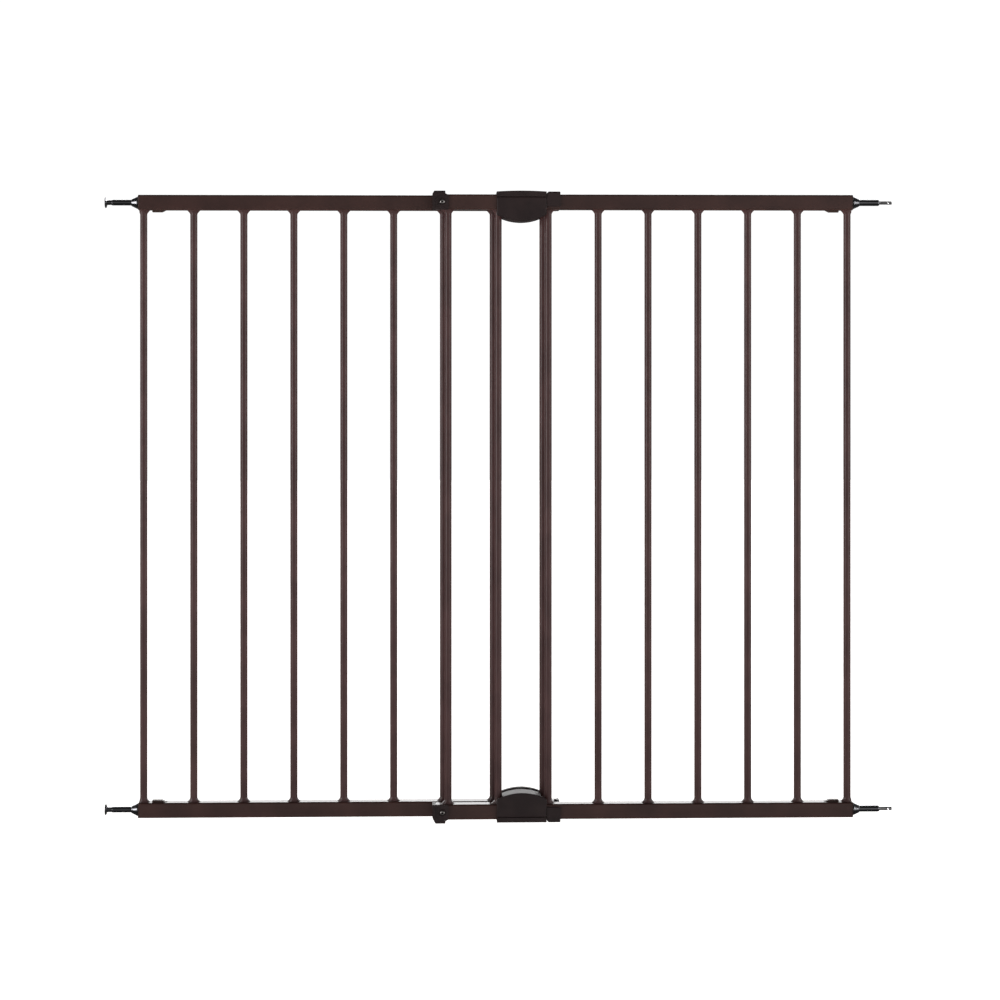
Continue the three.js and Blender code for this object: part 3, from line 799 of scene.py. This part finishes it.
def makeSleeveScrew(node, edge):
    # pan-head tapping screw with a cross recess, at the back of the sleeve
    low, high = boxMm(node)
    length = high.y - low.y
    head = length - 1.8
    profile = [(0, 0), (0, 0.5), (1.6, 1.45), (head, 1.5), (head, 2.8), (head + 0.25, 3),
               (head + 0.8, 2.95), (head + 1.4, 2.5), (head + 1.75, 1.7),
               (length, 0.9), (length, 0)]
    screw = build(turned(profile, 40))
    for blade in crossTool(length):
        cut(screw, blade)
    matrix = outward(edge, (low.x + high.x) / 2, low.y) @ Matrix.Rotation(math.pi / 2, 4, "Z")
    return place(screw, f"cuff_pan_screw_{edge}", [node], zincSteel, matrix, 35)


for edge in edges:
    makeClampBracket("clamp_bracket_" + edge, edge)
    makeClampScrew("clamp_screw_" + edge, edge)
    makeSleeve("end_sleeve_" + edge, edge)
    makeSleeveScrew("sleeve_screw_" + edge, edge)
print("clamp brackets and end sleeves made")


moonShape = {"half": 36, "bulgeHalf": 28.2, "apex": 17, "radius": 74, "arcSteps": 28,
             "plate": 4.2, "dome": 0.7, "rim": 1.3, "columns": 44, "rows": 22,
             "seam": 7.2, "lapStep": 1.5, "lapInset": 2, "gap": 0.3, "sheet": 2.2,
             "bulgeBack": 16.5, "slotBack": 29, "hole": 1.9, "sink": 3.9, "spread": 24,
             "top": {"outer": 4.7, "lap": 2.2, "crown": 1.2, "round": 1.3},
             "bottom": {"outer": 3.0, "lap": 1.1, "crown": 0, "round": 0.8}}


def moonFloor(u, apex=None):
    # the height of the half-moon's round edge at a distance u from its middle
    shape = moonShape
    apex = shape["apex"] if apex is None else apex
    return -halfRail - apex + shape["radius"] - math.sqrt(shape["radius"] ** 2 - u ** 2)


def moonOutline(halfWidth, top, apex=None):
    steps = moonShape["arcSteps"]
    places = [-halfWidth + 2 * halfWidth * k / steps for k in range(steps + 1)]
    return [(-halfWidth, top), *((u, moonFloor(u, apex)) for u in places), (halfWidth, top)]


def domedPlate(face, back, top, sign):
    # a slab whose outer face is crowned and rolls over at its rim; sign is the way it faces in Y
    shape = moonShape
    columns, rows, half, rim = shape["columns"], shape["rows"], shape["half"], shape["rim"]
    bm = bmesh.new()
    front, rear = [], []
    for i in range(columns + 1):
        share = -math.cos(math.pi * i / columns)  # closer together near the rim
        u = share * half
        low = moonFloor(u)
        frontColumn, rearColumn = [], []
        for j in range(rows + 1):
            down = (1 - math.cos(math.pi * j / rows)) / 2
            z = top + (low - top) * down
            margin = max(0.0, min(half - abs(u), top - z, z - low))
            roll = rim - math.sqrt(max(0.0, rim ** 2 - (rim - min(margin, rim)) ** 2))
            sink = shape["dome"] * (0.55 * share ** 2 + 0.45 * (2 * down - 1) ** 2)
            frontColumn.append(bm.verts.new((u, face - sign * (roll + sink), z)))
            rearColumn.append(bm.verts.new((u, back, z)))
        front.append(frontColumn)
        rear.append(rearColumn)
    for grid in (front, rear):
        for i in range(columns):
            for j in range(rows):
                bm.faces.new((grid[i][j], grid[i + 1][j], grid[i + 1][j + 1], grid[i][j + 1]))
    border = [(i, 0) for i in range(columns)] + [(columns, j) for j in range(rows)]
    border += [(i, rows) for i in range(columns, 0, -1)] + [(0, j) for j in range(rows, 0, -1)]
    for at, (i, j) in enumerate(border):
        k, m = border[(at + 1) % len(border)]
        bm.faces.new((front[i][j], front[k][m], rear[k][m], rear[i][j]))
    bmesh.ops.recalc_face_normals(bm, faces=bm.faces)
    return bm


def makeFrontShell(node, edge, x):
    shape = moonShape
    front = -halfDepth - shape["gap"]
    roof = halfRail + shape["gap"]
    across = (-shape["half"], shape["half"])
    lapTop = roof + shape[edge]["lap"]
    plate = build(domedPlate(front - shape["plate"], front, shape["seam"], -1))
    moon = moonOutline(shape["bulgeHalf"], -halfRail - shape["gap"])
    bulge = build(prism(moon, front - 1, shape["bulgeBack"], "y"))
    soften(bulge, 0.7, 3, 45)
    pocketApex = shape["apex"] - shape["sheet"]
    pocket = prism(moonOutline(shape["bulgeHalf"] - shape["sheet"], -halfRail + 1, pocketApex),
                   front, shape["bulgeBack"] - shape["sheet"], "y")
    cut(bulge, pocket)
    foot = slab(across, (front - shape["lapStep"], front), (shape["seam"] - 1, lapTop))
    cut(plate, foot, "UNION")
    lap = slab(across, (front - 1, halfDepth - shape["lapInset"]), (roof, lapTop))
    cut(plate, lap, "UNION")
    cut(plate, bulge, "UNION")
    for side in (-1, 1):
        cut(plate, move(drill(shape["hole"], 0, 40, "z"), (side * shape["spread"] / 2, 0, 0)))
    return place(plate, f"half_moon_front_{edge}", [node], nylon, outward(edge, x, frontY), 34)


def makeRearShell(node, edge, x):
    shape, walls = moonShape, moonShape[edge]
    half = shape["half"]
    back = backRailFar - frontY + shape["gap"]
    roof = halfRail + shape["gap"]
    top = roof + walls["outer"]
    lapFloor = roof + walls["lap"] + shape["gap"]
    outer = back + shape["plate"]
    face = -halfDepth - shape["gap"] - shape["plate"]
    lipBack = -halfDepth - 2 * shape["gap"] - shape["lapStep"]
    shares = [1 - 2 * k / 24 for k in range(25)]
    crest = [(share * half, top - walls["crown"] * share ** 2) for share in shares]
    strap = build(prism([(-half, lapFloor), (half, lapFloor), *crest], face, outer - 0.2, "y"))
    lip = slab((-half, half), (face, lipBack), (shape["seam"] + shape["gap"], lapFloor + 1))
    cut(strap, lip, "UNION")
    soften(strap, walls["round"], 5, 45)
    lapEnd = halfDepth - shape["lapInset"] + shape["gap"]
    thick = slab((-half, half), (lapEnd, outer - 1.5), (roof, lapFloor + 1))
    cut(strap, thick, "UNION")
    cut(strap, domedPlate(outer, back, lapFloor + 0.6, 1), "UNION")
    moon = moonOutline(shape["bulgeHalf"], -halfRail - shape["gap"])
    rearMoon = build(prism(moon, shape["slotBack"], back + 1, "y"))
    soften(rearMoon, 0.6, 3, 45)
    cut(strap, rearMoon, "UNION")
    hole, wide = shape["hole"], shape["sink"]
    for side in (-1, 1):
        at = side * shape["spread"] / 2
        cut(strap, move(drill(hole, 0, 40, "z"), (at, 0, 0)))
        sink = turned([(-1.2, 0), (-1.2, hole), (1.1, wide), (3, wide), (3, 0)], 32)
        cut(strap, move(turnTo(sink, "z"), (at, 0, top - 0.9)))
    return place(strap, f"half_moon_rear_{edge}", [node], nylon, outward(edge, x, frontY), 34)


def makeCouplerScrew(node, edge):
    # countersunk tapping screw with a cross recess, set into the outer side
    low, high = boxMm(node)
    length = high.z - low.z
    profile = [(0, 0), (0, 0.5), (1.4, 1.5), (length - 1.8, 1.5), (length - 0.3, 2.95),
               (length, 3), (length, 0)]
    screw = build(turned(profile, 40))
    for blade in crossTool(length):
        cut(screw, blade)
    screw.data.transform(Matrix.Rotation(-math.pi / 2, 4, "Y"))
    at = edges[edge]
    base = (low.z if at["out"] > 0 else high.z) - at["z"]
    matrix = outward(edge, (low.x + high.x) / 2, frontY)
    matrix = matrix @ Matrix.Translation((0, 0, base * at["out"]))
    return place(screw, node + "_cross", [node], zincSteel, matrix, 35)


for edge in edges:
    low, high = boxMm("coupler_front_shell_" + edge)
    middle = (low.x + high.x) / 2
    makeFrontShell("coupler_front_shell_" + edge, edge, middle)
    makeRearShell("coupler_rear_shell_" + edge, edge, middle)
    for side in ("left", "right"):
        makeCouplerScrew(f"coupler_screw_{side}_{edge}", edge)
print("couplers made")


for node, obj in frame["nodes"].items():  # the weld nuts and plungers, inside the rails
    if obj.hide_render:
        continue
    obj.data.materials.clear()
    obj.data.materials.append(zincSteel if "nut" in node else plugPlastic)
    print("kept from CAD:", node)


studio = {
    "floorBelow": 0.045, "floorHex": "#f4f3f1", "floorGlow": 1.05, "reach": 9.0, "cells": 24,
    "wallHigh": 4.6, "wallLow": 0.08, "bandLeft": 0.10, "bandRight": 0.42, "fill": 0.03,
    "seenWhite": 1.05, "boxDistance": 3.2, "boxHeight": 0.7,
    "softboxes": (
        {"name": "left_box", "turn": -58, "size": (1.0, 1.7), "power": 26},
        {"name": "right_box", "turn": 58, "size": (0.4, 1.7), "power": 13},
    ),
}


def makeFloor():
    # a wide pale sheet that glows a little, so that it stays even under the gate
    bm = bmesh.new()
    reach, z = studio["reach"], cadLow.z - studio["floorBelow"]
    middle = (cadLow.x + cadHigh.x) / 2
    cells = studio["cells"]
    places = [reach * (2 * i / cells - 1) for i in range(cells + 1)]
    grid = [[bm.verts.new((middle + x, y, z)) for y in places] for x in places]
    for i in range(cells):
        for j in range(cells):
            bm.faces.new((grid[i][j], grid[i + 1][j], grid[i + 1][j + 1], grid[i][j + 1]))
    floor = build(bm, "studio_floor")
    material, *_, shader = newMaterial("painted_studio_floor")
    shader.inputs["Base Color"].default_value = linear(studio["floorHex"])
    shader.inputs["Roughness"].default_value = 0.9
    shader.inputs["Emission Color"].default_value = linear(studio["floorHex"])
    shader.inputs["Emission Strength"].default_value = studio["floorGlow"]
    floor.data.materials.append(material)
    floor.visible_glossy = False


worldSteps = {  # what each step reads of the direction, where it starts and ends, its two values
    "behind": ("Y", 0.05, 0.45, 0, 1),
    "stripFloor": ("Z", 0.13, 0.20, 0, 1),
    "stripRoof": ("Z", 0.55, 0.32, 0, 1),
    "eyeLevel": ("height", 0.45, 0, 0, 1),
    "ahead": ("Y", 0.3, -0.2, 0, 1),
    "aside": ("X", -0.25, 0.25, studio["bandLeft"], studio["bandRight"]),
}


def makeWorld():
    # White for the eye. For the light, a bright strip of wall behind and above the gate, so that
    # only surfaces facing up catch it, and a dim band at eye level that is lighter on the right.
    world = bpy.data.worlds.new("studio")
    scene.world = world
    world.use_nodes = True
    tree = world.node_tree
    tree.nodes.clear()
    way = addNode(tree, "ShaderNodeTexCoord").outputs["Generated"]
    parts = addNode(tree, "ShaderNodeSeparateXYZ", links={"Vector": way}).outputs
    height = addNode(tree, "ShaderNodeMath", {"operation": "ABSOLUTE"}, {0: parts["Z"]})
    sources = {**{axis: parts[axis] for axis in "XYZ"}, "height": height.outputs["Value"]}
    steps = {}
    for name, (source, start, end, low, high) in worldSteps.items():
        step = addNode(tree, "ShaderNodeMapRange",
                       {"interpolation_type": "SMOOTHSTEP", "From Min": start, "From Max": end,
                        "To Min": low, "To Max": high}, {"Value": sources[source]})
        steps[name] = step.outputs["Result"]
    strip = addNode(tree, "ShaderNodeMath", {"operation": "MULTIPLY"},
                    {0: steps["stripFloor"], 1: steps["stripRoof"]})
    level = addNode(tree, "ShaderNodeMapRange",
                    {"interpolation_type": "SMOOTHSTEP", "To Min": studio["wallLow"],
                     "To Max": studio["wallHigh"]}, {"Value": strip.outputs["Value"]})
    wall = addNode(tree, "ShaderNodeMath", {"operation": "MULTIPLY"},
                   {0: steps["behind"], 1: level.outputs["Result"]})
    ahead = addNode(tree, "ShaderNodeMath", {"operation": "MULTIPLY"},
                    {0: steps["eyeLevel"], 1: steps["ahead"]})
    band = addNode(tree, "ShaderNodeMath", {"operation": "MULTIPLY"},
                   {0: ahead.outputs["Value"], 1: steps["aside"]})
    both = addNode(tree, "ShaderNodeMath", {"operation": "ADD"},
                   {0: wall.outputs["Value"], 1: band.outputs["Value"]})
    total = addNode(tree, "ShaderNodeMath", {"operation": "ADD", 1: studio["fill"]},
                    {0: both.outputs["Value"]})
    light = addNode(tree, "ShaderNodeBackground", links={"Strength": total.outputs["Value"]})
    seen = addNode(tree, "ShaderNodeBackground", {"Strength": studio["seenWhite"]})
    for node in (light, seen):
        node.inputs["Color"].default_value = linear("#ffffff")
    eye = addNode(tree, "ShaderNodeLightPath").outputs["Is Camera Ray"]
    mix = addNode(tree, "ShaderNodeMixShader", links={"Fac": eye, 1: light.outputs["Background"],
                                                      2: seen.outputs["Background"]})
    addNode(tree, "ShaderNodeOutputWorld", links={"Surface": mix.outputs["Shader"]})


def makeSoftbox(box):
    light = bpy.data.lights.new(box["name"], "AREA")
    light.shape, light.size, light.size_y, light.energy = "RECTANGLE", *box["size"], box["power"]
    obj = bpy.data.objects.new(box["name"], light)
    scene.collection.objects.link(obj)
    middle = (cadLow + cadHigh) / 2
    turn = math.radians(box["turn"])
    obj.location = middle + Vector((math.sin(turn), -math.cos(turn), 0)) * studio["boxDistance"]
    obj.location.z = studio["boxHeight"]
    aim = middle - obj.location
    aim.z = 0
    obj.rotation_euler = aim.to_track_quat("-Z", "Y").to_euler()
    obj.visible_camera = False


cameraSetup = {"distance": 3.150, "above": 0.228, "aside": 0.088,
               "lens": 78.5, "shiftX": 0.0006, "shiftY": -0.1508}


def makeCamera():
    # level and almost straight on, a little above the middle and to the latch side
    middle, setup = (cadLow + cadHigh) / 2, cameraSetup
    camera = bpy.data.cameras.new("camera")
    camera.lens, camera.shift_x, camera.shift_y = setup["lens"], setup["shiftX"], setup["shiftY"]
    obj = bpy.data.objects.new("camera", camera)
    scene.collection.objects.link(obj)
    front = railLow.y / perMetre
    obj.location = (middle.x - setup["aside"], front - setup["distance"], middle.z + setup["above"])
    yaw = math.atan2(setup["aside"], setup["distance"])
    obj.rotation_euler = (math.pi / 2, 0, -yaw)
    scene.camera = obj


makeFloor()
makeWorld()
for box in studio["softboxes"]:
    makeSoftbox(box)
makeCamera()
scene.view_settings.view_transform = "Standard"
print("studio made")
